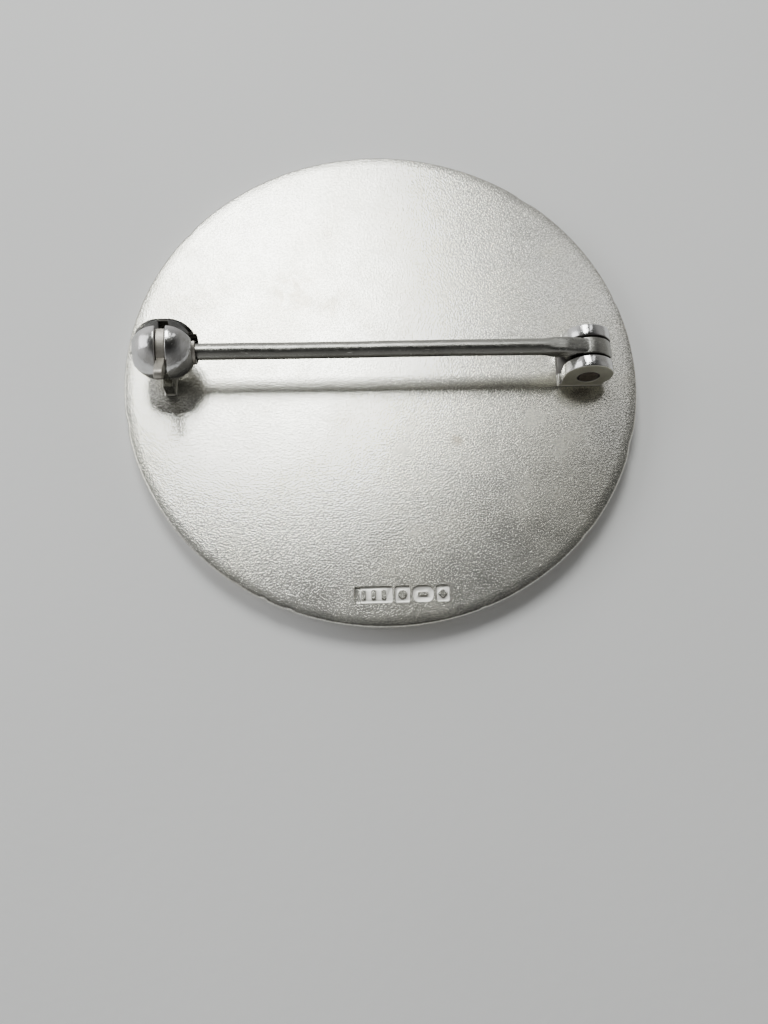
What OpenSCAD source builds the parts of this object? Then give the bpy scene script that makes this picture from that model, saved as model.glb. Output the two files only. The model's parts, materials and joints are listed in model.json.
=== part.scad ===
// Round enamel brooch pin, lying on its front with its back and pin fittings up.
// Millimetres. Z = 0 is the plane of the front rim, X runs from catch to hinge.

/* [Plate] */
// Diameter of the plate
disc_d = 38; // [30:0.5:45]
// Thickness from front rim to back face
plate_t = 1.8; // [1.6:0.1:2.4]
// Inward lean of the side wall towards the front
side_lean = 0.35; // [0.1:0.05:0.6]
// Width of the raised front rim
rim_w = 1.8; // [1.2:0.1:2.4]
// Distance of the pin line from the middle of the plate
fitting_y = 0.5; // [0:0.1:2]

/* [Enamel] */
// Depth of the enamel cells
cell_depth = 0.7; // [0.5:0.05:0.9]
// How far the enamel lies below the front rim
enamel_sink = 0.06; // [0.02:0.01:0.15]
// Width of the metal walls between cells
wall_w = 0.35; // [0.25:0.05:0.5]
// Radius of the middle cell
centre_r = 3.0; // [2.5:0.1:3.2]
// Distance of a petal's middle from the middle of the plate
petal_at = 8.2; // [8:0.1:8.4]
// Half the length of a petal
petal_half_l = 4.2; // [4:0.1:4.3]
// Half the width of a petal
petal_half_w = 1.9; // [1.5:0.1:2]
// Width of the border cell
border_w = 3.8; // [3:0.1:4]

/* [Hinge] */
// Distance of the rivet from the middle of the plate
hinge_x = 15; // [14:0.1:15.4]
// Height of the rivet above the back face
rivet_h = 1.35; // [1.3:0.05:1.5]
// Radius of the rivet
rivet_r = 0.75; // [0.5:0.01:0.78]
// Radius of the rounded ears
ear_r = 1.8; // [1.6:0.05:2]
// Height of the ears above the back face
ear_h = 3.3; // [3:0.1:3.6]
// Thickness of one ear
ear_t = 0.9; // [0.7:0.02:1]
// Gap between the ears
ear_gap = 1.56; // [1.5:0.02:1.6]
// Thickness of the floor under the ears
floor_t = 0.25; // [0.2:0.05:0.25]
// How far the floor runs past the ears towards the catch
floor_lip = 0.15; // [0.1:0.05:0.6]
// How far the floor runs past the rivet on the other side
floor_run = 1.3; // [1.2:0.05:1.8]

/* [Stem] */
// Radius of the wire
wire_r = 0.6; // [0.5:0.01:0.6]
// Height of the wire's axis above the back face
wire_h = 3.05; // [2.95:0.05:3.2]
// Length of the point
point_l = 4.8; // [4.7:0.1:5.5]
// Side clearance of the eye between the ears
eye_clear = 0.15; // [0.14:0.01:0.16]
// Angle of the heel that stops the swing
heel_angle = 30; // [28:1:32]
// Length of the flattened tongue in front of the ears
tongue_l = 1.3; // [0.8:0.1:2]

/* [Catch] */
// Distance of the ball's middle from the middle of the plate
catch_x = 15.5; // [14.5:0.1:15.8]
// Radius of the ball
ball_r = 2.15; // [2:0.05:2.3]
// Width of the slot between the two halves of the ball
slot_w = 0.72; // [0.7:0.02:0.9]
// Width of the mouth that the wire drops into
mouth_w = 1.36; // [1.32:0.01:1.4]
// Direction of the mouth above the plate
mouth_angle = 49; // [45:1:50]
// Distance of the wire's axis from the ball's middle, away from the mouth
wire_drop = 0.24; // [0.2:0.01:0.24]
// Outer radius of the turning sleeve
sleeve_r = 1.1; // [1.08:0.01:1.12]
// Inner radius of the turning sleeve
sleeve_bore_r = 0.87; // [0.86:0.01:0.88]
// Radius of the lever's rim
lever_r = 1.92; // [1.8:0.02:2]
// Direction of the lever's tab at rest, seen along the pin
tab_angle = 147; // [143:1:150]
// Reach of the tab from the middle of the ball
tab_reach = 3.6; // [3.2:0.1:4]
// Half the thickness of the tab
tab_half_t = 0.38; // [0.3:0.02:0.42]
// Length of the foot along the plate
foot_l = 4.1; // [3.6:0.1:4.6]
// Height of the foot's shoulders above the back face
foot_h = 1.45; // [1.2:0.05:1.6]

/* [Marks] */
// Height of the stamped frames
mark_h = 1.2; // [1:0.05:1.5]
// Depth of the stamped frames
mark_depth = 0.18; // [0.08:0.01:0.2]
// Distance of the frames from the middle of the plate
mark_y = 16.7; // [15.5:0.1:16.8]

/* [Hidden] */

fine = 96;
eps = 0.01;
petals = 8;
disc_r = disc_d / 2;
back_z = plate_t;
rivet_z = back_z + rivet_h;
wire_z = back_z + wire_h;
border_out = disc_r - side_lean - rim_w;
border_in = border_out - border_w;
// the field cells end inside the tips of the walled petals
field_in = petal_at - petal_half_l - 0.1;
field_out = petal_at + petal_half_l + 0.1;
petal_arc_r = (petal_half_l * petal_half_l + petal_half_w * petal_half_w) / (2 * petal_half_w);
eye_t = ear_gap - 2 * eye_clear;
ear_centre_h = ear_h - ear_r;
tongue_x = hinge_x - ear_r - tongue_l;
tip_x = -catch_x - ball_r - 0.22;
run = 0.05;
ball_y = fitting_y + wire_drop * cos(mouth_angle);
ball_z = wire_z + wire_drop * sin(mouth_angle);

// A flat plate in the X-Z plane, centred on the pin line
module upright(t) {
    translate([0, fitting_y + t / 2, 0])
        rotate([90, 0, 0])
            linear_extrude(t)
                children();
}

// A flat plate in the Y-Z plane, with its outline drawn from the middle of the ball
module across(t) {
    translate([-catch_x - t / 2, ball_y, ball_z])
        rotate([90, 0, 90])
            linear_extrude(t)
                children();
}

// A round bar along X through the middle of the ball
module bar(r, x0, x1) {
    translate([-catch_x + x0, ball_y, ball_z])
        rotate([0, 90, 0])
            cylinder(r = r, h = x1 - x0, $fn = fine);
}

// The space that the wire passes on its way out along the mouth
module mouth() {
    translate([-catch_x - 3, ball_y, ball_z])
        rotate([mouth_angle, 0, 0])
            translate([0, 0, -mouth_w / 2])
                cube([6, 3, mouth_w]);
}

// The outline of a petal, grown by g on each side
module petal_2d(g) {
    translate([petal_at, 0])
        intersection() {
            translate([0, petal_half_w - petal_arc_r])
                circle(r = petal_arc_r + g, $fn = fine);
            translate([0, petal_arc_r - petal_half_w])
                circle(r = petal_arc_r + g, $fn = fine);
        }
}

// The fields between the petals, all in one outline
module fields_2d() {
    difference() {
        circle(r = field_out, $fn = fine);
        circle(r = field_in, $fn = fine);
        for (i = [0 : petals - 1])
            rotate(i * 360 / petals)
                petal_2d(wall_w);
    }
}

// The sector from petal n to the next
module sector_2d(n) {
    step = 360 / petals;
    rotate((n - 1) * step)
        polygon([
            [0, 0],
            [disc_r, 0],
            [disc_r, disc_r * tan(step / 2)],
            [disc_r * cos(step), disc_r * sin(step)]
        ]);
}

module ring_2d(r0, r1) {
    difference() {
        circle(r = r1, $fn = fine);
        circle(r = r0, $fn = fine);
    }
}

// A block of enamel that fills its cell to just below the rim
module fill() {
    translate([0, 0, enamel_sink])
        linear_extrude(cell_depth - enamel_sink)
            children();
}

// A stamped frame, w wide, with its middle at x
module mark(x, w, r) {
    translate([x, -mark_y, back_z - mark_depth])
        linear_extrude(mark_depth + eps)
            difference() {
                union() {
                    square([w - 2 * r, mark_h], center = true);
                    square([w, mark_h - 2 * r], center = true);
                    for (sx = [-1, 1], sy = [-1, 1])
                        translate([sx * (w / 2 - r), sy * (mark_h / 2 - r)])
                            circle(r = r, $fn = 24);
                }
                children();
            }
}

module plate() {
    color("silver")
        difference() {
            cylinder(r1 = disc_r - side_lean, r2 = disc_r, h = plate_t, $fn = 180);
            translate([0, 0, -eps])
                linear_extrude(cell_depth + eps) {
                    circle(r = centre_r, $fn = fine);
                    ring_2d(border_in, border_out);
                    fields_2d();
                    for (i = [0 : petals - 1])
                        rotate(i * 360 / petals)
                            petal_2d(0);
                }
            // four stamped frames, each with a plain raised figure
            mark(-1.15, 2.7, 0.2)
                for (i = [-1 : 1])
                    translate([i * 0.7, 0])
                        square([0.22, 0.62], center = true);
            mark(0.86, 1.1, 0.2)
                circle(r = 0.26, $fn = 24);
            mark(2.28, 1.55, 0.5)
                square([0.6, 0.2], center = true);
            mark(3.66, 0.98, 0.2)
                rotate(45)
                    square(0.4, center = true);
        }
}

module enamel_centre() {
    color("crimson")
        fill()
            circle(r = centre_r, $fn = fine);
}

module enamel_border() {
    color("navy")
        fill()
            ring_2d(border_in, border_out);
}

module enamel_petal(n) {
    color("white")
        fill()
            rotate((n - 1) * 360 / petals)
                petal_2d(0);
}

module enamel_field(n) {
    color("teal")
        fill()
            intersection() {
                fields_2d();
                sector_2d(n);
            }
}

// One strip bent up into two rounded ears on a thin floor
module hinge_joint() {
    color("silver")
        difference() {
            union() {
                for (s = [-1, 1])
                    translate([0, s * (ear_gap + ear_t) / 2, 0])
                        upright(ear_t) {
                            intersection() {
                                translate([hinge_x, back_z + ear_centre_h])
                                    circle(r = ear_r, $fn = fine);
                                translate([hinge_x - ear_r, back_z + floor_t])
                                    square([2 * ear_r, ear_h]);
                            }
                            translate([hinge_x - ear_r, back_z])
                                square([ear_r, ear_centre_h]);
                        }
                translate([hinge_x - ear_r - floor_lip, fitting_y - ear_gap / 2 - ear_t, back_z])
                    cube([ear_r + floor_lip + floor_run, ear_gap + 2 * ear_t, floor_t]);
            }
            upright(ear_gap + 2 * ear_t + 1)
                translate([hinge_x, rivet_z])
                    circle(r = rivet_r + 0.02, $fn = fine);
        }
}

module rivet() {
    color("tan")
        upright(ear_gap + 2 * ear_t + 0.04)
            translate([hinge_x, rivet_z])
                circle(r = rivet_r, $fn = fine);
}

// Pointed wire with a flat tongue that ends in an eye
module stem() {
    hub_r = rivet_h - floor_t - 0.07;
    color("gray")
        difference() {
            union() {
                translate([tip_x + point_l, fitting_y, wire_z])
                    rotate([0, 90, 0])
                        cylinder(r = wire_r, h = tongue_x + 5 * eps - tip_x - point_l, $fn = fine);
                translate([tip_x, fitting_y, wire_z])
                    rotate([0, 90, 0])
                        cylinder(r1 = 0.12, r2 = wire_r, h = point_l, $fn = fine);
                upright(eye_t) {
                    polygon([
                        [tongue_x, wire_z - wire_r],
                        [tongue_x, wire_z + wire_r - 0.06],
                        [hinge_x - 0.6, wire_z + wire_r - 0.2],
                        [hinge_x, rivet_z],
                        [hinge_x - ear_r, rivet_z + 0.2]
                    ]);
                    translate([hinge_x, rivet_z])
                        circle(r = hub_r, $fn = fine);
                    intersection() {
                        translate([hinge_x, back_z + ear_centre_h])
                            circle(r = ear_r, $fn = fine);
                        translate([hinge_x, rivet_z])
                            polygon([
                                [0, 0],
                                [4 * cos(heel_angle), 4 * sin(heel_angle)],
                                [4, 4],
                                [-4, 4],
                                [-4, 0]
                            ]);
                    }
                }
            }
            upright(ear_gap)
                translate([hinge_x, rivet_z])
                    circle(r = rivet_r + 0.06, $fn = fine);
        }
}

// Upright plate that carries the ball and fills the lower part of its slot
module catch_foot() {
    rest_edge = tab_angle + 22;
    guard = mouth_angle - 20;
    color("silver")
        across(slot_w)
            difference() {
                union() {
                    translate([-foot_l / 2, back_z - ball_z])
                        square([foot_l, foot_h]);
                    intersection() {
                        circle(r = ball_r, $fn = fine);
                        union() {
                            translate([-ball_r, -ball_r])
                                square([2 * ball_r, ball_r - 0.25]);
                            polygon([
                                [0, 0],
                                [3 * cos(rest_edge), 3 * sin(rest_edge)],
                                [-3, -3],
                                [0, -3]
                            ]);
                        }
                    }
                    // thin guard behind the lever, up to the far lip of the mouth
                    intersection() {
                        ring_2d(lever_r + run, ball_r);
                        polygon([[0, 0], [0, -3], [3, -3], [3, 3 * tan(guard)]]);
                    }
                }
                circle(r = sleeve_r + 0.1, $fn = fine);
            }
}

// The half of the ball on the tip's side of the slot
module ball_half() {
    difference() {
        translate([-catch_x - slot_w / 2 + 0.08, ball_y, ball_z])
            sphere(r = ball_r, $fn = fine);
        translate([-catch_x - slot_w / 2, ball_y - 3, ball_z - 3])
            cube([6, 6, 6]);
        bar(sleeve_r + run, -3, 3);
        mouth();
    }
}

module ball_half_outer() {
    color("lightgray")
        ball_half();
}

module ball_half_inner() {
    color("lightgray")
        translate([-2 * catch_x, 0, 0])
            mirror([1, 0, 0])
                ball_half();
}

// Slit tube that turns in the ball and closes its mouth
module catch_sleeve() {
    color("dimgray")
        difference() {
            bar(sleeve_r, -1.95, 2.3);
            bar(sleeve_bore_r, -3, 3);
            mouth();
        }
}

// Rim and tab fixed on the sleeve, turning in the slot of the ball
module catch_lever() {
    color("darkgray")
        across(slot_w - 2 * run)
            difference() {
                union() {
                    intersection() {
                        circle(r = lever_r, $fn = fine);
                        polygon([
                            [0, 0],
                            [4 * cos(tab_angle + 10), 4 * sin(tab_angle + 10)],
                            [-4, 6],
                            [4 * cos(mouth_angle), 4 * sin(mouth_angle)]
                        ]);
                    }
                    rotate(tab_angle)
                        translate([0, -tab_half_t])
                            square([tab_reach - tab_half_t, 2 * tab_half_t]);
                    rotate(tab_angle)
                        translate([tab_reach - tab_half_t, 0])
                            circle(r = tab_half_t, $fn = 48);
                }
                circle(r = sleeve_r, $fn = fine);
                rotate(mouth_angle)
                    translate([0, -mouth_w / 2])
                        square([4, mouth_w]);
            }
}

plate();
enamel_centre();
enamel_border();
enamel_petal(1);  // enamel_petal_1
enamel_petal(2);  // enamel_petal_2
enamel_petal(3);  // enamel_petal_3
enamel_petal(4);  // enamel_petal_4
enamel_petal(5);  // enamel_petal_5
enamel_petal(6);  // enamel_petal_6
enamel_petal(7);  // enamel_petal_7
enamel_petal(8);  // enamel_petal_8
enamel_field(1);  // enamel_field_1
enamel_field(2);  // enamel_field_2
enamel_field(3);  // enamel_field_3
enamel_field(4);  // enamel_field_4
enamel_field(5);  // enamel_field_5
enamel_field(6);  // enamel_field_6
enamel_field(7);  // enamel_field_7
enamel_field(8);  // enamel_field_8
hinge_joint();
rivet();
stem();
catch_foot();
ball_half_outer();
ball_half_inner();
catch_sleeve();
catch_lever();
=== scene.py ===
"""Looks of a round silver brooch with an enamelled front, a hinged pin stem and a ball catch.

It lies on its front. Shapes are worked out in millimetres and stored in metres, in the frame
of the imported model: X along the pin line from catch to hinge, Z out of the back face.
"""

import json
import math

import bmesh
import bpy
from mathutils import Matrix, Vector, noise


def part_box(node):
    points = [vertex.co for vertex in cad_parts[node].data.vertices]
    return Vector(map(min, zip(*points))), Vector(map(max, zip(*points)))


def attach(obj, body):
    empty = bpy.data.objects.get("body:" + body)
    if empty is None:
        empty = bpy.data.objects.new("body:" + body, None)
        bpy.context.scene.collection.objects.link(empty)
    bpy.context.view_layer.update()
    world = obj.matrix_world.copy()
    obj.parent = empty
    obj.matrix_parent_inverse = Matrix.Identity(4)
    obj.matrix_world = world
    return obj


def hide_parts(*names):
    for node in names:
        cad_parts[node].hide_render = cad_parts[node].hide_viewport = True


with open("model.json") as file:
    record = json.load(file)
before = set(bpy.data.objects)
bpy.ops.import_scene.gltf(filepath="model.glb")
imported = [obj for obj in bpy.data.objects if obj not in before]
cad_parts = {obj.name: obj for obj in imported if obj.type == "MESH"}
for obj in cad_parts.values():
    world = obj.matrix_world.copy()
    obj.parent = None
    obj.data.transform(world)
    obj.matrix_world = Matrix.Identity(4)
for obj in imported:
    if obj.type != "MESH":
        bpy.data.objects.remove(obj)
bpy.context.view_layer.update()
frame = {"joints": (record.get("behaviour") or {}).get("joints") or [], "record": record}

# All lengths below are in millimetres, apart from those in the frame's own data.
MM = 0.001
TAU = 2 * math.pi

# how far the visual outlines stay inside the CAD's
DISC_INSET = 0.006
BORDER_INSET = 0.002
BALL_INSET = 0.006
FOOT_INSET = 0.01


# ---------------------------------------------------------------- places from the frame

def box_mm(node):
    """Lowest and highest corner of a CAD node, in millimetres."""
    low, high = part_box(node)
    return low / MM, high / MM


joints = {j["name"]: j for j in frame["joints"]}
mounts = {m["name"]: m for m in frame["record"]["mounts"]}

# plate
plate_high = box_mm("plate")[1]
DISC_R = plate_high.x - DISC_INSET
BACK_Z = plate_high.z
border_low, border_high = box_mm("enamel_border")
BORDER_OUT = border_high.x - BORDER_INSET
CELL_TOP = border_high.z
ENAMEL_Z = border_low.z
CENTRE_R = box_mm("enamel_centre")[1].x
petal_low, petal_high = box_mm("enamel_petal_1")
PETAL_AT = (petal_low.x + petal_high.x) / 2
PETAL_HALF_L = (petal_high.x - petal_low.x) / 2
PETAL_HALF_W = (petal_high.y - petal_low.y) / 2
SIDE_LEAN = 0.35
BACK_EDGE_R = 0.16
FRONT_EDGE_R = 0.3
BORDER_W = 3.8
WALL_W = 0.35
CELL_GAP = 0.1

# stamped frames: their row, the middle of each along X, and how far the row reaches
MARK_Y = -16.7
MARK_H = 1.2
MARK_DEPTH = 0.18
BARS_X, DOT_X, DASH_X, LOZENGE_X = -1.15, 0.86, 2.28, 3.66
MARKS_X = 1.2
MARKS_REACH = 3.2

# the disc's outline: what is uneven, and how deep. Chips bite into the back's edge only.
UNEVEN_BAND = 0.9
UNEVEN_DEPTH = 0.012
CHIP_HEIGHT = 0.5
CHIP_BAND = 0.12
# each chip's angle and width in degrees, and its depth
RIM_CHIPS = (
    (-169, 1.5, 0.12), (-124, 1.0, 0.04), (-117.6, 0.7, 0.11), (-111.6, 0.9, 0.09),
    (-70, 0.7, 0.05), (-42, 1.0, 0.06), (-18, 2.2, 0.12), (18, 0.8, 0.06),
    (52, 1.6, 0.10), (96, 1.2, 0.05), (140, 0.9, 0.07),
)

# hinge
rivet_low, rivet_high = box_mm("rivet")
HINGE = (rivet_low + rivet_high) / 2
RIVET_R = (rivet_high.z - rivet_low.z) / 2
joint_low, joint_high = box_mm("hinge_joint")
EAR_R = joint_high.x - HINGE.x
EAR_T = 0.9
FLOOR_T = 0.25
FLOOR_RUN = 1.3
EAR_HOLE_PLAY = 0.05
PIN_Y = HINGE.y

# stem
stem_low, stem_high = box_mm("stem")
WIRE_R = mounts["stem"]["dims"]["r_mm"]
WIRE_Z = mounts["stem"]["pos_m"][2] / MM
TIP_X = stem_low.x
EYE_T = stem_high.y - stem_low.y
TIP_R = 0.10
POINT_L = 4.8
# the wire widens into the tongue, sinks a little, then runs down into the eye
TONGUE_L = 1.3
TONGUE_LEAD = 0.5
TONGUE_BLEND = 1.5
TONGUE_SWELL = 0.04
TONGUE_DROP = 0.11
EYE_BLEND = 2.2
EYE_DROP = 0.30
EYE_HOLE_PLAY = 0.06
HUB_GAP = 0.07
HUB_R = HINGE.z - BACK_Z - FLOOR_T - HUB_GAP

# catch
BALL = Vector(joints["catch_turn"]["pos_m"]) / MM
BALL_R = BALL.z - box_mm("ball_half_inner")[0].z
SLOT_W = box_mm("catch_foot")[1].x - box_mm("catch_foot")[0].x
LEVER_W = box_mm("catch_lever")[1].x - box_mm("catch_lever")[0].x
sleeve_low, sleeve_high = box_mm("catch_sleeve")
SLEEVE_R = (sleeve_high.z - sleeve_low.z) / 2
SLEEVE_BORE_R = 0.87
SLEEVE_PLAY = 0.05
MOUTH_W = 1.36
spring_axis = joints["stem_spring"]["axis"]
MOUTH_ANGLE = math.atan2(spring_axis[1], -spring_axis[2])
LEVER_R = 1.92
TAB_ANGLE = math.radians(147)
TAB_REACH = 3.6
TAB_HALF_T = 0.38
HEEL_ANGLE = math.radians(157)
HEEL_R = 1.75
FOOT_L = 4.1
FOOT_H = 1.45
# in the slot, the foot stops this far short of the mouth and this far behind the tab
FOOT_BEFORE = math.radians(20)
FOOT_BEHIND = math.radians(22)
STRIP_HALF_W = 0.25

# edges that the shader and the modifiers treat as sharp
SHARP_ANGLE = math.radians(34)
BEVEL_ANGLE = math.radians(50)


# ---------------------------------------------------------------- shapes

def add_object(name, data):
    obj = bpy.data.objects.new(name, data)
    bpy.context.scene.collection.objects.link(obj)
    return obj


def remove_mesh_object(obj):
    mesh = obj.data
    bpy.data.objects.remove(obj)
    bpy.data.meshes.remove(mesh)


def evaluated_mesh(obj):
    """A new mesh of the object with its modifiers applied."""
    graph = bpy.context.evaluated_depsgraph_get()
    graph.update()
    return bpy.data.meshes.new_from_object(obj.evaluated_get(graph))


def to_piece(obj, name, body, material, nodes=()):
    """Bakes modifiers, turns millimetres into metres and hands the piece to its body."""
    mesh = evaluated_mesh(obj)
    mesh.transform(Matrix.Scale(MM, 4))
    remove_mesh_object(obj)
    piece = add_object(name, mesh)
    mesh.name = name
    mesh.materials.clear()
    mesh.materials.append(material)
    mesh.shade_smooth()
    mesh.set_sharp_from_angle(angle=SHARP_ANGLE)
    weighted = piece.modifiers.new("normals", "WEIGHTED_NORMAL")
    weighted.keep_sharp = True
    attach(piece, body)
    if nodes:
        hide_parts(*nodes)


def from_bmesh(name, bm):
    """An object from a bmesh, which is used up."""
    mesh = bpy.data.meshes.new(name)
    bmesh.ops.recalc_face_normals(bm, faces=bm.faces)
    bm.to_mesh(mesh)
    bm.free()
    return add_object(name, mesh)


def arc(cx, cy, r, start, end, count):
    """Points on a circle, with both ends, angles in radians."""
    step = (end - start) / (count - 1)
    return [(cx + r * math.cos(start + i * step), cy + r * math.sin(start + i * step))
            for i in range(count)]


def slab(name, loops, thick, bevel, place, steps=3):
    """A flat plate with rounded edges. Its outline and holes are drawn in XY, then placed."""
    curve = bpy.data.curves.new(name, "CURVE")
    curve.dimensions = "2D"
    curve.fill_mode = "BOTH"
    curve.extrude = thick / 2 - bevel
    curve.bevel_depth = bevel
    curve.bevel_resolution = steps
    curve.offset = -bevel
    for loop in loops:
        spline = curve.splines.new("POLY")
        spline.points.add(len(loop) - 1)
        for point, (x, y) in zip(spline.points, loop):
            point.co = (x, y, 0, 1)
        spline.use_cyclic_u = True
    drawn = add_object(name, curve)
    mesh = evaluated_mesh(drawn)
    bpy.data.objects.remove(drawn)
    bpy.data.curves.remove(curve)
    bm = bmesh.new()
    bm.from_mesh(mesh)
    bpy.data.meshes.remove(mesh)
    bmesh.ops.remove_doubles(bm, verts=bm.verts, dist=0.0005)
    bmesh.ops.dissolve_limit(bm, angle_limit=math.radians(1), verts=bm.verts, edges=bm.edges)
    bm.transform(place)
    return from_bmesh(name, bm)


# a drawing in XY stood up in the X-Z plane, or in the Y-Z plane
UPRIGHT = Matrix(((1, 0, 0, 0), (0, 0, -1, 0), (0, 1, 0, 0), (0, 0, 0, 1)))
ACROSS = Matrix(((0, 0, 1, 0), (1, 0, 0, 0), (0, 1, 0, 0), (0, 0, 0, 1)))


def lathe(name, profile, count, place, wobble=None):
    """A closed profile of (radius, height) turned about Z. Points on the axis close it."""
    bm = bmesh.new()
    rings = []
    for radius, height in profile:
        if radius == 0:
            rings.append([bm.verts.new((0, 0, height))])
            continue
        ring = []
        for i in range(count):
            a = TAU * i / count
            r, z = wobble(radius, height, a) if wobble else (radius, height)
            ring.append(bm.verts.new((r * math.cos(a), r * math.sin(a), z)))
        rings.append(ring)
    closed = profile[0][0] and profile[-1][0]
    pairs = list(zip(rings, rings[1:] + rings[:1]))
    for low, high in pairs if closed else pairs[:-1]:
        for i in range(count):
            j = (i + 1) % count
            corners = [low[i % len(low)], low[j % len(low)],
                       high[j % len(high)], high[i % len(high)]]
            # a ring on the axis is one point, so its corners fall together
            corners = list(dict.fromkeys(corners))
            if len(corners) > 2:
                bm.faces.new(corners)
    bm.transform(place)
    return from_bmesh(name, bm)


def skin(bm, rings):
    """Quads between each ring of points and the next."""
    for low, high in zip(rings, rings[1:]):
        for k in range(len(low)):
            n = (k + 1) % len(low)
            bm.faces.new((low[k], low[n], high[n], high[k]))


def combine(obj, other, how):
    """A boolean with another object, which is used up."""
    step = obj.modifiers.new(how, "BOOLEAN")
    step.operation = how
    step.solver = "EXACT"
    step.object = other
    mesh = evaluated_mesh(obj)
    obj.modifiers.clear()
    old, obj.data = obj.data, mesh
    bpy.data.meshes.remove(old)
    remove_mesh_object(other)


def soften(obj, width, steps):
    """Rounds the object's sharp edges."""
    bevel = obj.modifiers.new("edges", "BEVEL")
    bevel.width = width
    bevel.segments = steps
    bevel.limit_method = "ANGLE"
    bevel.angle_limit = BEVEL_ANGLE
    bevel.use_clamp_overlap = True


def circle(r, count=160, cx=0, cy=0):
    return arc(cx, cy, r, 0, TAU * (1 - 1 / count), count)


def rounded_rect(cx, cy, w, h, r, count=8):
    """Outline of a rectangle with rounded corners."""
    points = []
    for quarter, (sx, sy) in enumerate(((1, 1), (-1, 1), (-1, -1), (1, -1))):
        start = quarter * math.pi / 2
        points += arc(cx + sx * (w / 2 - r), cy + sy * (h / 2 - r), r,
                      start, start + math.pi / 2, count)
    return points


def turned(points, angle):
    """The points turned about the middle of the drawing."""
    c, s = math.cos(angle), math.sin(angle)
    return [(c * x - s * y, s * x + c * y) for x, y in points]


def mouth_cutter():
    """The straight way that the wire takes out of the ball."""
    length, reach = 6, 3
    bm = bmesh.new()
    bmesh.ops.create_cube(bm, size=1)
    bm.transform(Matrix.Translation(BALL) @ Matrix.Rotation(MOUTH_ANGLE, 4, "X")
                 @ Matrix.Translation((0, reach / 2, 0))
                 @ Matrix.Diagonal((length, reach, MOUTH_W, 1)))
    return from_bmesh("mouth", bm)


# ---------------------------------------------------------------- materials

def map_range(tree, source, low, high, to_low, to_high, smooth=True):
    """Maps low to high onto to_low to to_high, held at both ends."""
    made = tree.nodes.new("ShaderNodeMapRange")
    made.interpolation_type = "SMOOTHSTEP" if smooth else "LINEAR"
    tree.links.new(source, made.inputs["Value"])
    for key, value in (("From Min", low), ("From Max", high),
                       ("To Min", to_low), ("To Max", to_high)):
        made.inputs[key].default_value = value
    return made.outputs["Result"]


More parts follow.
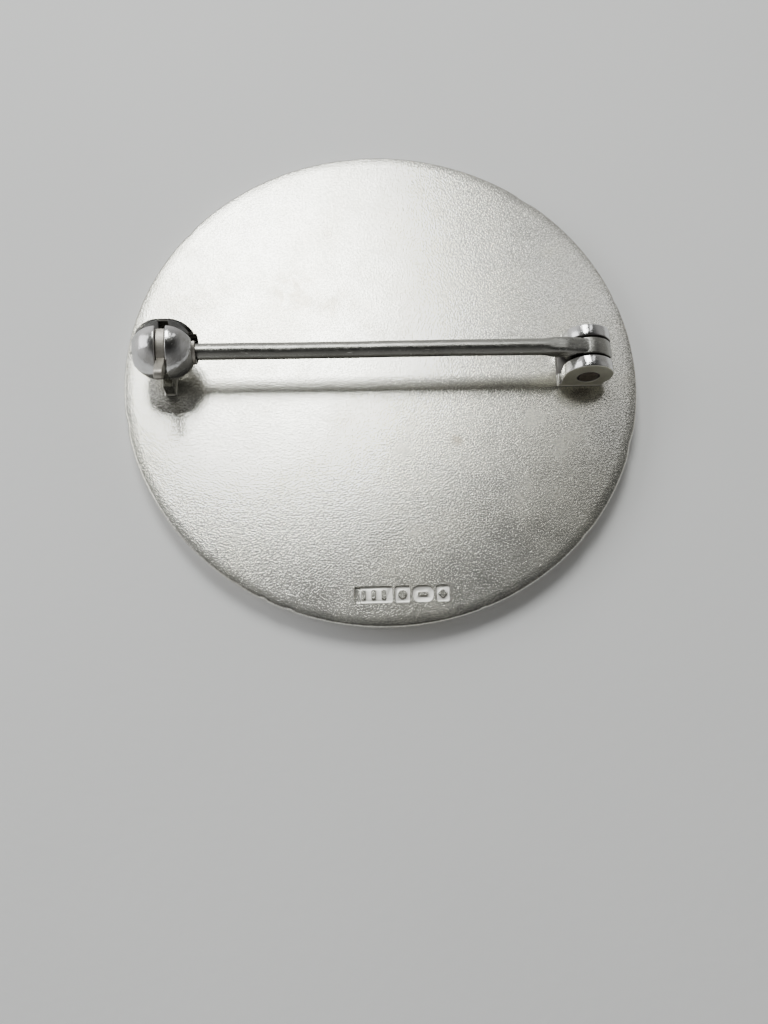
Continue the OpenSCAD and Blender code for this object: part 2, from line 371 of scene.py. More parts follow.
class Paint:
    """A small helper that wires one Principled material."""

    def __init__(self, name, **sockets):
        self.material = bpy.data.materials.new(name)
        self.material.use_nodes = True
        self.tree = self.material.node_tree
        self.shader = self.tree.nodes["Principled BSDF"]
        self.place = self.node("ShaderNodeTexCoord").outputs["Object"]
        for socket, value in sockets.items():
            self.shader.inputs[socket.replace("_", " ")].default_value = value

    def node(self, kind, **values):
        made = self.tree.nodes.new(kind)
        for key, value in values.items():
            if hasattr(made, key):
                setattr(made, key, value)
            else:
                made.inputs[key.replace("_", " ")].default_value = value
        return made

    def link(self, source, target):
        self.tree.links.new(source, target)

    def mapped(self, scale, angle=(0, 0, 0)):
        """Places stretched by scale, for noise with a direction."""
        mapping = self.node("ShaderNodeMapping")
        mapping.inputs["Scale"].default_value = scale
        mapping.inputs["Rotation"].default_value = angle
        self.link(self.place, mapping.inputs["Vector"])
        return mapping.outputs["Vector"]

    def noise(self, size_mm, detail=2.0, roughness=0.5, distortion=0.0, where=None):
        """Noise whose blobs are about size_mm across."""
        made = self.node("ShaderNodeTexNoise", Scale=1 / (size_mm * MM), Detail=detail,
                         Roughness=roughness, Distortion=distortion)
        self.link(where or self.place, made.inputs["Vector"])
        return made.outputs["Fac"]

    def cells(self, size_mm):
        """Distance from the middle of cells about size_mm across."""
        made = self.node("ShaderNodeTexVoronoi", Scale=1 / (size_mm * MM))
        self.link(self.place, made.inputs["Vector"])
        return made.outputs["Distance"]

    def ramp(self, source, low, high, to_low=0.0, to_high=1.0):
        """A smooth step from to_low to to_high."""
        return map_range(self.tree, source, low, high, to_low, to_high)

    def line(self, source, low, high, to_low, to_high):
        """A straight ramp from to_low to to_high."""
        return map_range(self.tree, source, low, high, to_low, to_high, smooth=False)

    def math(self, how, a, b):
        made = self.node("ShaderNodeMath", operation=how)
        for socket, value in zip(made.inputs, (a, b)):
            if isinstance(value, (int, float)):
                socket.default_value = value
            else:
                self.link(value, socket)
        return made.outputs["Value"]

    def times(self, a, b):
        return self.math("MULTIPLY", a, b)

    def plus(self, a, b):
        return self.math("ADD", a, b)

    def most(self, first, *others):
        """The largest of several values."""
        for other in others:
            first = self.math("MAXIMUM", first, other)
        return first

    def blend(self, factor, a, b):
        """Colour a to colour b by factor. Either may be a colour or a socket."""
        made = self.node("ShaderNodeMix", data_type="RGBA")
        self.link(factor, made.inputs["Factor"])
        sockets = [s for s in made.inputs if s.type == "RGBA"]
        for socket, value in zip(sockets, (a, b)):
            if isinstance(value, (tuple, list)):
                socket.default_value = (*value, 1)
            else:
                self.link(value, socket)
        return [s for s in made.outputs if s.type == "RGBA"][0]

    def near(self, point, inner, outer, axes="XYZ"):
        """1 within the inner distance of a point, line or plane, 0 beyond the outer one."""
        split = self.node("ShaderNodeSeparateXYZ")
        self.link(self.place, split.inputs[0])
        total = 0.0
        for axis in axes:
            off = self.math("SUBTRACT", split.outputs[axis], point["XYZ".index(axis)] * MM)
            total = self.plus(self.times(off, off), total)
        return self.ramp(self.math("SQRT", total, 0.0), outer * MM, inner * MM)

    def bump(self, height, depth_mm, below=None):
        """Relief depth_mm deep, laid over the relief below it if there is one."""
        made = self.node("ShaderNodeBump", Strength=1.0, Distance=depth_mm * MM)
        self.link(height, made.inputs["Height"])
        if below:
            self.link(below, made.inputs["Normal"])
        return made.outputs["Normal"]

    def color(self, socket):
        self.link(socket, self.shader.inputs["Base Color"])

    def rough(self, socket):
        self.link(socket, self.shader.inputs["Roughness"])

    def normal(self, socket):
        self.link(socket, self.shader.inputs["Normal"])


# brown smudges above the pin line and a small one below it: x, y, radius, fuzz, share
STAINS = (
    (-6.6, 7.0, 0.7, 2.2, 0.85), (-3.6, 6.0, 0.4, 1.8, 0.7),
    (-14.6, 6.0, 0.8, 2.6, 0.5), (5.2, -5.4, 0.2, 0.5, 0.8),
)


def sandblasted_silver():
    """Matte pickled silver: blasted grain with dark pits, warm toning, faint stains, and painted
    shade on the stamped frames' walls.
    """
    clean, toned, hazed = (0.86, 0.85, 0.80), (0.79, 0.77, 0.68), (0.60, 0.54, 0.42)
    stain_brown, pit_grey = (0.42, 0.36, 0.27), (0.40, 0.40, 0.365)
    # the near-black colour for the frames' walls is painted shade
    stamp_floor, stamp_wall = (0.93, 0.92, 0.87), (0.10, 0.10, 0.09)

    p = Paint("sandblasted_silver", Metallic=1.0)
    clouds = p.noise(9, detail=4, roughness=0.6)
    haze = p.noise(2.2, detail=5, roughness=0.65)
    tone = p.blend(p.ramp(clouds, 0.35, 0.7), clean, toned)
    tone = p.blend(p.ramp(haze, 0.56, 0.78, 0, 0.30), tone, hazed)
    blotch = p.noise(1.3, detail=6, roughness=0.7, distortion=0.6)
    for x, y, radius, fuzz, share in STAINS:
        place = p.near((x, y), radius, radius + fuzz, "XY")
        stain = p.times(place, p.ramp(blotch, 0.38, 0.66, 0, share))
        tone = p.blend(stain, tone, stain_brown)

    # the bottom and the walls of the stamped frames; the walls are darkened as painted shade
    stamped = p.times(p.near((0, MARK_Y), 0.70, 0.78, "Y"),
                      p.near((MARKS_X, 0), MARKS_REACH, MARKS_REACH + 0.1, "X"))
    sunk = p.times(stamped, p.near((0, 0, BACK_Z - MARK_DEPTH), 0.02, 0.04, "Z"))
    wall = p.times(stamped, p.near((0, 0, BACK_Z - MARK_DEPTH / 2), 0.05, 0.07, "Z"))

    # the blasted grain is on the back, and the side and the front's walls are smoother
    grain = p.noise(0.13, detail=2.0, roughness=0.6)
    blasted = p.ramp(p.near((0, 0, BACK_Z), 0.3, 0.7, "Z"), 0.0, 1.0, 0.25, 1.0)
    pits = p.times(p.ramp(grain, 0.62, 0.38, 0, 0.72), blasted)
    tone = p.blend(pits, tone, pit_grey)
    tone = p.blend(sunk, tone, stamp_floor)
    # painted shade: the frames' walls are darkened nearly to black
    p.color(p.blend(wall, tone, stamp_wall))
    p.rough(p.plus(p.line(clouds, 0.3, 0.7, 0.22, 0.26),
                   p.plus(p.line(haze, 0.3, 0.8, -0.02, 0.04), p.times(sunk, 0.2))))
    relief = p.times(p.times(grain, blasted), p.ramp(sunk, 0.0, 1.0, 1.0, 0.3))
    swell = p.bump(p.noise(5.0, detail=2), 0.008)
    p.normal(p.bump(relief, 0.013, below=swell))
    return p.material


def polished_silver(name, clean, worn):
    """Silver with scuffs and soft dents, dull cut and ear faces, a painted dark reflection on the
    ear faces, and painted shade in its hollows.
    """
    # the ear-face colour is a painted dark reflection, and the darkest colour is painted shade
    # for the hollows
    ear_face_tone, speck_tone, grime = (0.66, 0.65, 0.56), (0.36, 0.33, 0.28), (0.15, 0.145, 0.14)

    p = Paint(name, Metallic=1.0)
    by_hinge = p.near(HINGE, 2.5, 3.0, "X")
    in_ball = p.near(BALL, 1.35, 1.60)
    between_ears = p.times(p.near(HINGE, 0.80, 0.86, "Y"), by_hinge)
    round_rivet = p.near(HINGE, RIVET_R + 0.05, RIVET_R + 0.11, "XZ")
    # painted shade: inside the ball, between the ears and round the rivet
    hollow = p.most(in_ball, between_ears, round_rivet)
    ear_face = p.times(p.near(joint_low, 0.02, 0.05, "Y"), by_hinge)
    cut_face = p.near(BALL, 2.06, 2.13)

    patch = p.noise(1.1, detail=4, roughness=0.6)
    speck = p.noise(0.22, detail=3, roughness=0.7)
    tone = p.blend(p.ramp(patch, 0.45, 0.75), clean, worn)
    # painted dark reflection on the ear's outer face
    tone = p.blend(ear_face, tone, ear_face_tone)
    tone = p.blend(p.ramp(speck, 0.66, 0.74, 0, 0.55), tone, speck_tone)
    # painted shade darkens the hollows
    p.color(p.blend(hollow, tone, grime))
    dull = p.times(p.most(hollow, ear_face, cut_face), 0.35)
    p.rough(p.plus(p.plus(p.line(patch, 0.35, 0.75, 0.09, 0.22), dull),
                   p.line(speck, 0.5, 0.8, 0.0, 0.14)))
    scratch = p.noise(0.07, detail=2, where=p.mapped((1, 0.12, 0.6), (0.5, 0.3, 0.7)))
    dents = p.bump(p.noise(0.55, detail=3), 0.022)
    p.normal(p.bump(scratch, 0.0035, below=dents))
    return p.material


def drawn_wire():
    """Nickel silver wire with draw lines along it, bright flecks and a satin skin."""
    clean, worn = (0.38, 0.38, 0.36), (0.29, 0.29, 0.27)
    line_tone, fleck_tone = (0.36, 0.34, 0.30), (0.93, 0.92, 0.88)

    p = Paint("drawn_wire", Metallic=1.0)
    lines = p.noise(0.09, detail=3, roughness=0.65, where=p.mapped((0.035, 1, 1)))
    flecks = p.noise(0.20, detail=4, roughness=0.75, where=p.mapped((0.45, 1, 1)))
    cloud = p.noise(2.5, detail=3, where=p.mapped((0.5, 1, 1)))
    tone = p.blend(p.ramp(cloud, 0.35, 0.7), clean, worn)
    tone = p.blend(p.ramp(lines, 0.42, 0.75, 0, 0.35), tone, line_tone)
    p.color(p.blend(p.ramp(flecks, 0.62, 0.70, 0, 0.8), tone, fleck_tone))
    p.rough(p.plus(p.line(lines, 0.3, 0.8, 0.24, 0.36), p.line(flecks, 0.5, 0.75, 0.0, 0.16)))
    p.normal(p.bump(flecks, 0.012, below=p.bump(lines, 0.006)))
    return p.material


def rivet_metal():
    """Warm worn rivet, filed flush, with painted shade round its edge."""
    clean, worn, grime = (0.30, 0.26, 0.22), (0.17, 0.145, 0.12), (0.07, 0.06, 0.055)

    p = Paint("rivet_metal", Metallic=1.0)
    wear = p.noise(0.35, detail=5, roughness=0.7)
    tone = p.blend(p.ramp(wear, 0.35, 0.7), clean, worn)
    middle = p.near(HINGE, RIVET_R - 0.10, RIVET_R - 0.03, "XZ")
    # painted shade round the rivet's edge, where it meets the ear
    p.color(p.blend(middle, grime, tone))
    p.rough(p.line(wear, 0.3, 0.7, 0.34, 0.5))
    file_marks = p.noise(0.06, detail=2, where=p.mapped((0.2, 1, 1), (0, 0.6, 0)))
    p.normal(p.bump(file_marks, 0.008))
    return p.material


def catch_grey():
    """Matte warm grey metal of the turning lever, with painted shade nearly black inside the
    tube.
    """
    clean, worn, inside = (0.52, 0.50, 0.46), (0.40, 0.38, 0.34), (0.05, 0.045, 0.04)

    p = Paint("catch_grey", Metallic=1.0)
    cloud = p.noise(0.5, detail=4, roughness=0.65)
    tone = p.blend(p.ramp(cloud, 0.35, 0.7), clean, worn)
    # painted shade: nearly black inside the tube's bore
    p.color(p.blend(p.near(BALL, 1.02, 1.12, "YZ"), tone, inside))
    p.rough(p.line(cloud, 0.3, 0.75, 0.40, 0.55))
    p.normal(p.bump(p.noise(0.08, detail=3), 0.010))
    return p.material


def enamel(name, deep, pale, engine_turned):
    """Glassy enamel over metal. Engine-turned rings show through where asked."""
    p = Paint(name, Coat_Weight=1.0, Coat_Roughness=0.03, Roughness=0.32, IOR=1.55)
    cloud = p.noise(1.6, detail=3, roughness=0.55)
    bubbles = p.times(p.ramp(p.cells(0.42), 0.10, 0.05), 0.35)
    bubble_tone = tuple(min(1, c * 1.6 + 0.05) for c in pale)
    shade = p.blend(p.ramp(cloud, 0.3, 0.72), deep, pale)
    p.color(p.blend(bubbles, shade, bubble_tone))
    if engine_turned:
        rings = p.node("ShaderNodeTexWave", wave_type="RINGS", rings_direction="Z",
                       Scale=1 / (2.2 * MM), Distortion=0.0)
        p.link(p.place, rings.inputs["Vector"])
        p.normal(p.bump(rings.outputs["Fac"], 0.05))
    else:
        p.normal(p.bump(p.noise(0.25, detail=2), 0.012))
    p.link(p.bump(p.noise(2.4, detail=1), 0.03), p.shader.inputs["Coat Normal"])
    return p.material


def pale_floor():
    """Plain matte board under the brooch."""
    light, shaded = (0.90, 0.905, 0.91), (0.87, 0.875, 0.88)

    p = Paint("pale_floor", Roughness=0.75, Specular_IOR_Level=0.25)
    p.color(p.blend(p.ramp(p.noise(40, detail=3), 0.3, 0.7), light, shaded))
    p.normal(p.bump(p.noise(0.8, detail=4), 0.02))
    return p.material


SILVER = sandblasted_silver()
BRIGHT = polished_silver("polished_silver", (0.67, 0.67, 0.67), (0.49, 0.485, 0.46))
# a darker copy of the polished silver, painted shade for the foot under the ball and for the
# solder fillets
DULL = polished_silver("shaded_silver", (0.40, 0.395, 0.36), (0.27, 0.265, 0.23))
WIRE = drawn_wire()
RIVET = rivet_metal()
GREY = catch_grey()
RED = enamel("enamel_red", (0.30, 0.010, 0.014), (0.44, 0.022, 0.024), False)
BLUE = enamel("enamel_blue", (0.008, 0.022, 0.16), (0.016, 0.050, 0.30), True)
IVORY = enamel("enamel_ivory", (0.80, 0.77, 0.64), (0.88, 0.86, 0.76), False)
TEAL = enamel("enamel_teal", (0.010, 0.19, 0.20), (0.030, 0.32, 0.32), True)


# ---------------------------------------------------------------- plate and enamel

PETALS = 8
STEP = TAU / PETALS
PETAL_ARC_R = (PETAL_HALF_L ** 2 + PETAL_HALF_W ** 2) / (2 * PETAL_HALF_W)
FIELD_IN = PETAL_AT - PETAL_HALF_L - CELL_GAP
FIELD_OUT = PETAL_AT + PETAL_HALF_L + CELL_GAP
BORDER_IN = BORDER_OUT - BORDER_W


def petal_outline():
    """The pointed oval between two arcs, along X."""
    drop = PETAL_ARC_R - PETAL_HALF_W
    half = math.asin(PETAL_HALF_L / PETAL_ARC_R)
    top = arc(PETAL_AT, -drop, PETAL_ARC_R, math.pi / 2 - half, math.pi / 2 + half, 40)
    bottom = arc(PETAL_AT, drop, PETAL_ARC_R, -math.pi / 2 - half, -math.pi / 2 + half, 40)
    return top + bottom[1:-1]


def field_outline():
    """The cell between the petal along X and the next one."""
    drop, reach = PETAL_ARC_R - PETAL_HALF_W, PETAL_ARC_R + WALL_W

    def meeting(radius):
        """Where the wall's arc over the first petal crosses a circle about the middle."""
        span = math.hypot(PETAL_AT, drop)
        along = (radius ** 2 - reach ** 2 + span ** 2) / (2 * span)
        side = math.sqrt(radius ** 2 - along ** 2)
        ux, uy = PETAL_AT / span, -drop / span
        return ux * along - uy * side, uy * along + ux * side

    ends = [meeting(FIELD_IN), meeting(FIELD_OUT)]
    turns = [math.atan2(y + drop, x - PETAL_AT) for x, y in ends]
    wall = arc(PETAL_AT, -drop, reach, turns[0], turns[1], 40)
    # the same wall over the next petal, mirrored in the line between the two
    c, s = math.cos(STEP), math.sin(STEP)
    mirror = [(c * x + s * y, s * x - c * y) for x, y in wall]
    out = math.atan2(ends[1][1], ends[1][0])
    inner = math.atan2(ends[0][1], ends[0][0])
    rim = arc(0, 0, FIELD_OUT, out, STEP - out, 24)
    hub = arc(0, 0, FIELD_IN, STEP - inner, inner, 12)
    return wall + rim[1:-1] + mirror[::-1] + hub[1:-1]


def nicked_rim(radius, height, a):
    """Dings and chips round the edge of the back, and a very slightly uneven outline."""
    if radius < DISC_R - UNEVEN_BAND:
        return radius, height
    around = Vector((3.2 * math.cos(a), 3.2 * math.sin(a), 0.4))
    radius -= UNEVEN_DEPTH * (1 + noise.noise(around))
    near_back = min(1, max(0, (height - BACK_Z + CHIP_HEIGHT) / CHIP_HEIGHT))
    for at, width, depth in RIM_CHIPS:
        off = (math.degrees(a) - at + 180) % 360 - 180
        dent = depth * math.exp(-(off / width) ** 2) * near_back
        radius -= dent
        if radius > DISC_R - CHIP_BAND:
            height -= 0.6 * dent
    return radius, height


def stamps():
    """The outline of each stamped frame, with the plain figure left standing in it."""
    bars = [rounded_rect(BARS_X + shift, MARK_Y, 0.24, 0.64, 0.08, 4) for shift in (-0.7, 0, 0.7)]
    dot = circle(0.27, 24, DOT_X, MARK_Y)
    dash = rounded_rect(DASH_X, MARK_Y, 0.64, 0.24, 0.09, 4)
    tilted = turned(rounded_rect(0, 0, 0.42, 0.42, 0.07, 4), math.pi / 4)
    lozenge = [(LOZENGE_X + x, MARK_Y + y) for x, y in tilted]
    return [
        [rounded_rect(BARS_X, MARK_Y, 2.7, MARK_H, 0.2), *bars],
        [rounded_rect(DOT_X, MARK_Y, 1.1, MARK_H, 0.2), dot],
        [rounded_rect(DASH_X, MARK_Y, 1.55, MARK_H, 0.5), dash],
        [rounded_rect(LOZENGE_X, MARK_Y, 0.98, MARK_H, 0.2), lozenge],
    ]


def petal_loop(i):
    return turned(petal_outline(), i * STEP)


def field_loop(i):
    return turned(field_outline(), i * STEP)


CENTRE_LOOPS = [circle(CENTRE_R)]
BORDER_LOOPS = [circle(BORDER_IN), circle(BORDER_OUT, 240)]


def level(z):
    """Lifts a drawing in XY to a height."""
    return Matrix.Translation((0, 0, z))


def build_plate():
    """The struck disc: rounded edges, open cells in front, stamped frames behind."""
    front_r = DISC_R - SIDE_LEAN
    back_edge = arc(DISC_R - BACK_EDGE_R, BACK_Z - BACK_EDGE_R, BACK_EDGE_R, math.pi / 2, 0, 6)
    front_edge = arc(front_r - FRONT_EDGE_R, FRONT_EDGE_R, FRONT_EDGE_R, 0, -math.pi / 2, 6)
    profile = [(0, BACK_Z), (DISC_R - 0.8, BACK_Z), *back_edge, (DISC_R - 0.1, BACK_Z / 2),
               *front_edge, (front_r - 0.6, 0), (0, 0)]
    plate = lathe("plate_body", profile, 720, Matrix.Identity(4), nicked_rim)
    cells = [CENTRE_LOOPS, BORDER_LOOPS]
    cells += [[petal_loop(i)] for i in range(PETALS)]
    cells += [[field_loop(i)] for i in range(PETALS)]
    cutters = [slab("stamp", loops, 2 * MARK_DEPTH, 0.09, level(BACK_Z)) for loops in stamps()]
    cutters += [slab("cell", loops, 2 * CELL_TOP, 0.0, level(0)) for loops in cells]
    for cutter in cutters:
        combine(plate, cutter, "DIFFERENCE")
    soften(plate, 0.045, steps=2)
    to_piece(plate, "silver_plate", "brooch", SILVER, ["plate"])


def build_enamel():
    """Every cell's fill, with a softly rounded edge."""
    thick = CELL_TOP - ENAMEL_Z
    place = level((CELL_TOP + ENAMEL_Z) / 2)
    fills = [("enamel_centre", CENTRE_LOOPS, RED, "enamel_red"),
             ("enamel_border", BORDER_LOOPS, BLUE, "enamel_blue")]
    for i in range(PETALS):
        fills.append((f"enamel_petal_{i + 1}", [petal_loop(i)], IVORY, "enamel_ivory"))
        fills.append((f"enamel_field_{i + 1}", [field_loop(i)], TEAL, "enamel_teal"))
    for node, loops, material, slot in fills:
        fill = slab(node, loops, thick, 0.06, place)
        to_piece(fill, f"{node}_fill", "brooch", material, [node])


# ---------------------------------------------------------------- hinge and stem

EAR_Z = joint_high.z - EAR_R
FLOOR_W = HINGE.x + FLOOR_RUN - joint_low.x
JOINT_L = joint_high.y - joint_low.y


def build_hinge():
    """Two rounded ears on a thin floor, with worn edges."""
    tuck = -math.asin((EAR_Z - BACK_Z) / EAR_R)
    outline = arc(HINGE.x, EAR_Z, EAR_R, tuck, math.pi, 60) + [(HINGE.x - EAR_R, BACK_Z)]
    hole = circle(RIVET_R + EAR_HOLE_PLAY, 64, HINGE.x, HINGE.z)
    parts = []
    for middle in (joint_low.y + EAR_T / 2, joint_high.y - EAR_T / 2):
        place = Matrix.Translation((0, middle, 0)) @ UPRIGHT
        parts.append(slab("ear", [outline, hole], EAR_T, 0.1, place, 4))
    floor = rounded_rect(joint_low.x + FLOOR_W / 2, PIN_Y, FLOOR_W, JOINT_L, 0.12)
    parts.append(slab("floor", [floor], FLOOR_T, 0.05, level(BACK_Z + FLOOR_T / 2)))
    body = parts[0]
    for other in parts[1:]:
        combine(body, other, "UNION")
    to_piece(body, "hinge_ears", "brooch", BRIGHT, ["hinge_joint"])


def build_rivet():
    """Flush rivet, its ends very slightly domed."""
    half = (rivet_high.y - rivet_low.y) / 2
    edge, dome, shoulder = 0.06, 0.006, 0.02
    upper = [(RIVET_R, half - shoulder - edge), (RIVET_R - edge, half - shoulder),
             (RIVET_R * 0.55, half - dome), (0, half)]
    lower = [(radius, -height) for radius, height in reversed(upper)]
    place = Matrix.Translation(HINGE) @ Matrix.Rotation(math.pi / 2, 4, "X")
    rivet = lathe("rivet_body", lower + upper, 64, place)
    to_piece(rivet, "hinge_rivet", "rivet", RIVET, ["rivet"])


def smooth(t):
    """A step from 0 to 1 that is flat at both ends."""
    t = min(1, max(0, t))
    return t * t * (3 - 2 * t)


def stem_section(x):
    """Half width, half height, squareness and centre height of the stem at x."""
    if x < TIP_X + POINT_L:
        t = (x - TIP_X) / POINT_L
        r = TIP_R + (WIRE_R - TIP_R) * (1 - (1 - t) ** 1.7)
        return r, r, 0.0, WIRE_Z
    tongue_x = HINGE.x - EAR_R - TONGUE_L
    flat = smooth((x - tongue_x + TONGUE_LEAD) / TONGUE_BLEND)
    fall = smooth((x - HINGE.x + EYE_BLEND) / EYE_BLEND)
    wide = WIRE_R + flat * (EYE_T / 2 - WIRE_R)
    tall = WIRE_R + TONGUE_SWELL * flat
    return wide, tall, flat, WIRE_Z - TONGUE_DROP * flat - EYE_DROP * fall


def wire_and_tongue():
    """The pointed wire, flattened towards its eye, with a very slight wave."""
    count, sides = 160, 48
    start, end = TIP_X, HINGE.x + 0.15
    bm = bmesh.new()
    rings = []
    for i in range(count + 1):
        x = start + (end - start) * i / count
        wide, tall, flat, middle = stem_section(x)
        power = 2 / (2 + 3 * flat)
        wave = (0.012 * math.sin(0.35 * x) + 0.006 * math.sin(1.3 * x + 1)) * (1 - flat)
        ring = []
        for k in range(sides):
            c, s = math.cos(TAU * k / sides), math.sin(TAU * k / sides)
            y = wide * math.copysign(abs(c) ** power, c)
            z = tall * math.copysign(abs(s) ** power, s)
            ring.append(bm.verts.new((x, PIN_Y + y + wave, middle + z)))
        rings.append(ring)
    skin(bm, rings)
    nose = bm.verts.new((start - 0.02, PIN_Y, WIRE_Z))
    tail = bm.verts.new((end, PIN_Y, WIRE_Z - TONGUE_DROP - EYE_DROP))
    for ring, point in ((rings[0], nose), (rings[-1], tail)):
        for k in range(sides):
            bm.faces.new((point, ring[k], ring[(k + 1) % sides]))
    return from_bmesh("wire", bm)


def build_stem():
    """The wire with its eye on the rivet. The eye's heel sets how far the stem can lift."""
    throat = [(HINGE.x - EAR_R - 0.1, WIRE_Z + 0.2), (HINGE.x - EAR_R - 0.25, WIRE_Z - 0.45)]
    outline = arc(HINGE.x, EAR_Z, EAR_R, math.radians(30) - 0.08, math.radians(150), 40)
    outline += throat
    outline += arc(HINGE.x, HINGE.z, HUB_R, math.radians(190), math.radians(372), 40)
    hole = circle(RIVET_R + EYE_HOLE_PLAY, 48, HINGE.x, HINGE.z)
    eye = slab("eye", [outline, hole], EYE_T, 0.08, Matrix.Translation((0, PIN_Y, 0)) @ UPRIGHT)
    stem = wire_and_tongue()
    combine(stem, eye, "UNION")
    to_piece(stem, "pin_stem", "stem", WIRE, ["stem"])


# ---------------------------------------------------------------- ball catch

def build_ball_half(side, name, node):
    """Half of a hollow ball, turned, then cut for the mouth. side is -1 or 1 along X."""
    face, bore, edge = SLOT_W / 2, SLEEVE_R + SLEEVE_PLAY, 0.07
    slot_edge = arc(BALL_R - edge - BALL_INSET, face + edge, edge, -math.pi / 2, 0, 6)
    shell = arc(0, face - 0.08, BALL_R, 0.09, math.acos((bore + edge) / BALL_R), 44)
    end_z = shell[-1][1]
    lip = [(bore + 0.02, end_z - 0.01), (bore, end_z - 0.08)]
    profile = [(bore, face + 0.03), (bore + 0.03, face), *slot_edge, *shell, *lip]
    place = Matrix.Translation(BALL) @ Matrix.Rotation(side * math.pi / 2, 4, "Y")
    half = lathe("half", profile, 128, place)
    combine(half, mouth_cutter(), "DIFFERENCE")
    soften(half, 0.05, steps=3)
    to_piece(half, name, "brooch", BRIGHT, [node])


def build_sleeve():
    """The slit tube that turns in the ball."""
    low, high, edge = sleeve_low.x - BALL.x, sleeve_high.x - BALL.x, 0.05
    profile = [(SLEEVE_BORE_R, low + edge), (SLEEVE_BORE_R + edge, low), (SLEEVE_R - edge, low),
               (SLEEVE_R, low + edge), (SLEEVE_R, high - edge), (SLEEVE_R - edge, high),
               (SLEEVE_BORE_R + edge, high), (SLEEVE_BORE_R, high - edge)]
    place = Matrix.Translation(BALL) @ Matrix.Rotation(math.pi / 2, 4, "Y")
    tube = lathe("tube", profile, 96, place)
    combine(tube, mouth_cutter(), "DIFFERENCE")
    soften(tube, 0.03, steps=2)
    to_piece(tube, "catch_tube", "lever", GREY, ["catch_sleeve"])


def build_lever():
    """The rim in the slot and the tab that the thumb turns."""
    lip = MOUTH_ANGLE + math.asin(MOUTH_W / 2 / LEVER_R)
    inner_lip = MOUTH_ANGLE + math.asin(MOUTH_W / 2 / SLEEVE_R)
    root = math.asin(TAB_HALF_T / LEVER_R)
    rim = arc(0, 0, LEVER_R, lip, TAB_ANGLE - root, 30)
    end = TAB_REACH - TAB_HALF_T
    tip = arc(end * math.cos(TAB_ANGLE), end * math.sin(TAB_ANGLE), TAB_HALF_T,
              TAB_ANGLE - math.pi / 2, TAB_ANGLE + math.pi / 2, 21)
    heel = [(HEEL_R * math.cos(HEEL_ANGLE + 0.05), HEEL_R * math.sin(HEEL_ANGLE + 0.05))]
    inner = arc(0, 0, SLEEVE_R, HEEL_ANGLE, inner_lip, 20)
    lever = slab("lever", [rim + tip + heel + inner], LEVER_W, 0.07,
                 Matrix.Translation(BALL) @ ACROSS, 4)
    to_piece(lever, "catch_tab", "lever", GREY, ["catch_lever"])


def build_foot():
    """The upright plate under the ball, running up into its slot on both sides of the tube."""
    base = BACK_Z - BALL.z
    shoulder = base + FOOT_H
    before, behind = MOUTH_ANGLE - FOOT_BEFORE, TAB_ANGLE + FOOT_BEHIND
    rim_r, lever_r, bore_r = BALL_R - FOOT_INSET, LEVER_R + 0.05, SLEEVE_R + 0.1
    side = math.asin(shoulder / BALL_R)
    half = FOOT_L / 2
    outline = [(-half, base), (half, base), (half, shoulder)]
    outline += arc(0, 0, rim_r, side, before, 30)
    outline += arc(0, 0, lever_r, before, -math.asin(STRIP_HALF_W / lever_r), 14)
    outline += arc(0, 0, bore_r, -math.asin(STRIP_HALF_W / bore_r), behind - TAU, 40)
    outline += arc(0, 0, rim_r, behind, math.pi - side, 12)
    outline += [(-half, shoulder)]
    foot = slab("foot", [outline], SLOT_W, 0.04, Matrix.Translation(BALL) @ ACROSS)
    # the foot takes the darker silver copy as painted shade
    to_piece(foot, "catch_base", "brooch", DULL, ["catch_foot"])


def build_solder(name, cx, cy, w, h, reach):
    """A thin fillet of solder round the foot of a fitting."""
    foot_z = BACK_Z - 0.01
    bm = bmesh.new()
    rings = []
    for i in range(6):
        a = math.pi / 2 * i / 5
        out, up = reach * (1 - math.sin(a)), reach * (1 - math.cos(a))
        ring = []
        for x, y in rounded_rect(cx, cy, w + 2 * out, h + 2 * out, 0.08 + out):
            uneven = 0.25 * reach * noise.noise(Vector((3 * x, 3 * y, 7)))
            ring.append(bm.verts.new((x, y, foot_z + up * (1 + 2 * uneven))))
        rings.append(ring)
    inner = rounded_rect(cx, cy, w - 0.1, h - 0.1, 0.05)
    for z in (BACK_Z + reach * 0.9, foot_z):
        rings.append([bm.verts.new((x, y, z)) for x, y in inner])
    skin(bm, rings + rings[:1])
    # the solder takes the darker silver copy as painted shade
    to_piece(from_bmesh(name, bm), name, "brooch", DULL)


build_plate()
build_enamel()
build_hinge()
build_rivet()
build_stem()
build_ball_half(-1, "ball_outer", "ball_half_outer")
build_ball_half(1, "ball_inner", "ball_half_inner")
build_sleeve()
build_lever()
build_foot()
build_solder("hinge_solder", joint_low.x + FLOOR_W / 2, PIN_Y, FLOOR_W, JOINT_L, 0.14)
build_solder("foot_solder", BALL.x, BALL.y, SLOT_W, FOOT_L, 0.16)


# ---------------------------------------------------------------- floor, light and camera

def build_floor():
    """A wide board that the brooch lies on."""
    bm = bmesh.new()
    bmesh.ops.create_grid(bm, x_segments=2, y_segments=2, size=900)
    bm.transform(Matrix.Scale(MM, 4))
    floor = from_bmesh("floor", bm)
    floor.data.materials.append(pale_floor())


def area_light(name, at, aim, size, power, color):
    """A soft panel, placed and aimed in millimetres."""
    data = bpy.data.lights.new(name, "AREA")
    data.shape = "RECTANGLE"
    data.size, data.size_y = size[0] * MM, size[1] * MM
    data.energy = power
    data.color = color
    lamp = add_object(name, data)
    lamp.location = Vector(at) * MM
    lamp.rotation_euler = (Vector(at) - Vector(aim)).to_track_quat("Z", "Y").to_euler()


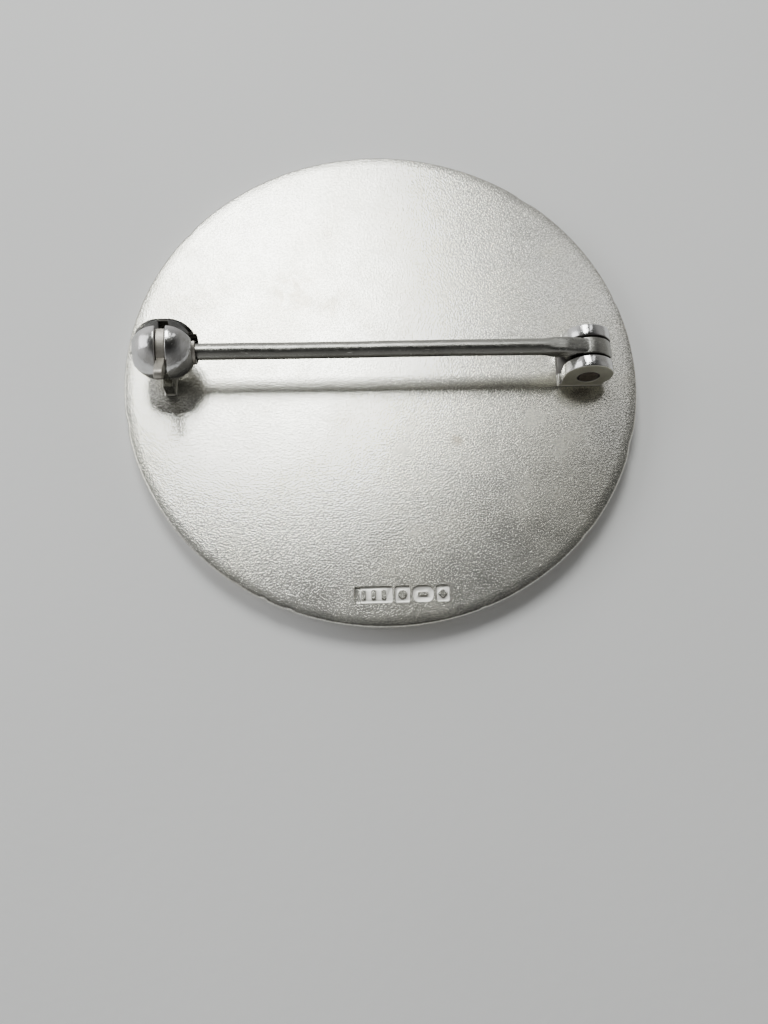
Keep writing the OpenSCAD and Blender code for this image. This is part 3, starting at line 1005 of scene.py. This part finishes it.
def build_world():
    """Soft room light: brighter behind and to the left, darker overhead and in front."""
    world = bpy.data.worlds.new("room")
    bpy.context.scene.world = world
    world.use_nodes = True
    tree = world.node_tree
    toward = tree.nodes.new("ShaderNodeTexCoord").outputs["Generated"]
    split = tree.nodes.new("ShaderNodeSeparateXYZ")
    tree.links.new(toward, split.inputs[0])
    strength = map_range(tree, split.outputs["Z"], 0.40, 0.96, 1.0, 0.06)
    for axis, *limits in (("Y", -0.75, 0.35, 0.42, 1.0), ("X", -0.6, 0.7, 1.0, 0.38)):
        product = tree.nodes.new("ShaderNodeMath")
        product.operation = "MULTIPLY"
        tree.links.new(strength, product.inputs[0])
        tree.links.new(map_range(tree, split.outputs[axis], *limits), product.inputs[1])
        strength = product.outputs["Value"]
    background = tree.nodes["Background"]
    background.inputs["Color"].default_value = (1.0, 0.99, 0.965, 1)
    tree.links.new(strength, background.inputs["Strength"])


def build_camera():
    """Looks down on the back, from the front and a little left, rolled slightly."""
    azimuth, elevation, roll = math.radians(-7.43), math.radians(72.25), math.radians(5.82)
    distance, lens = 70.9, 35.16
    target = Vector((-0.23, -10.73, BACK_Z))
    back = Vector((math.sin(azimuth) * math.cos(elevation),
                   -math.cos(azimuth) * math.cos(elevation), math.sin(elevation)))
    across = Vector((0, 0, 1)).cross(back).normalized()
    up = back.cross(across)
    right = math.cos(roll) * across + math.sin(roll) * up
    top = back.cross(right)
    data = bpy.data.cameras.new("camera")
    data.lens = lens
    data.clip_start, data.clip_end = 0.002, 10
    camera = add_object("camera", data)
    place = Matrix((right, top, back)).transposed().to_4x4()
    place.translation = (target + back * distance) * MM
    camera.matrix_world = place
    bpy.context.scene.camera = camera


build_floor()
build_world()
area_light("key", (-25, 121, 198), (-4, 4, 0), (82, 94), 0.32, (0.985, 1.0, 0.965))
area_light("left_softbox", (-220, 50, 150), (0, 0, 0), (170, 150), 0.20, (0.98, 0.99, 1.0))
area_light("right_strip", (72, 110, 186), (BALL.x, 0, 4), (26, 60), 0.010, (1, 1, 1))
build_camera()
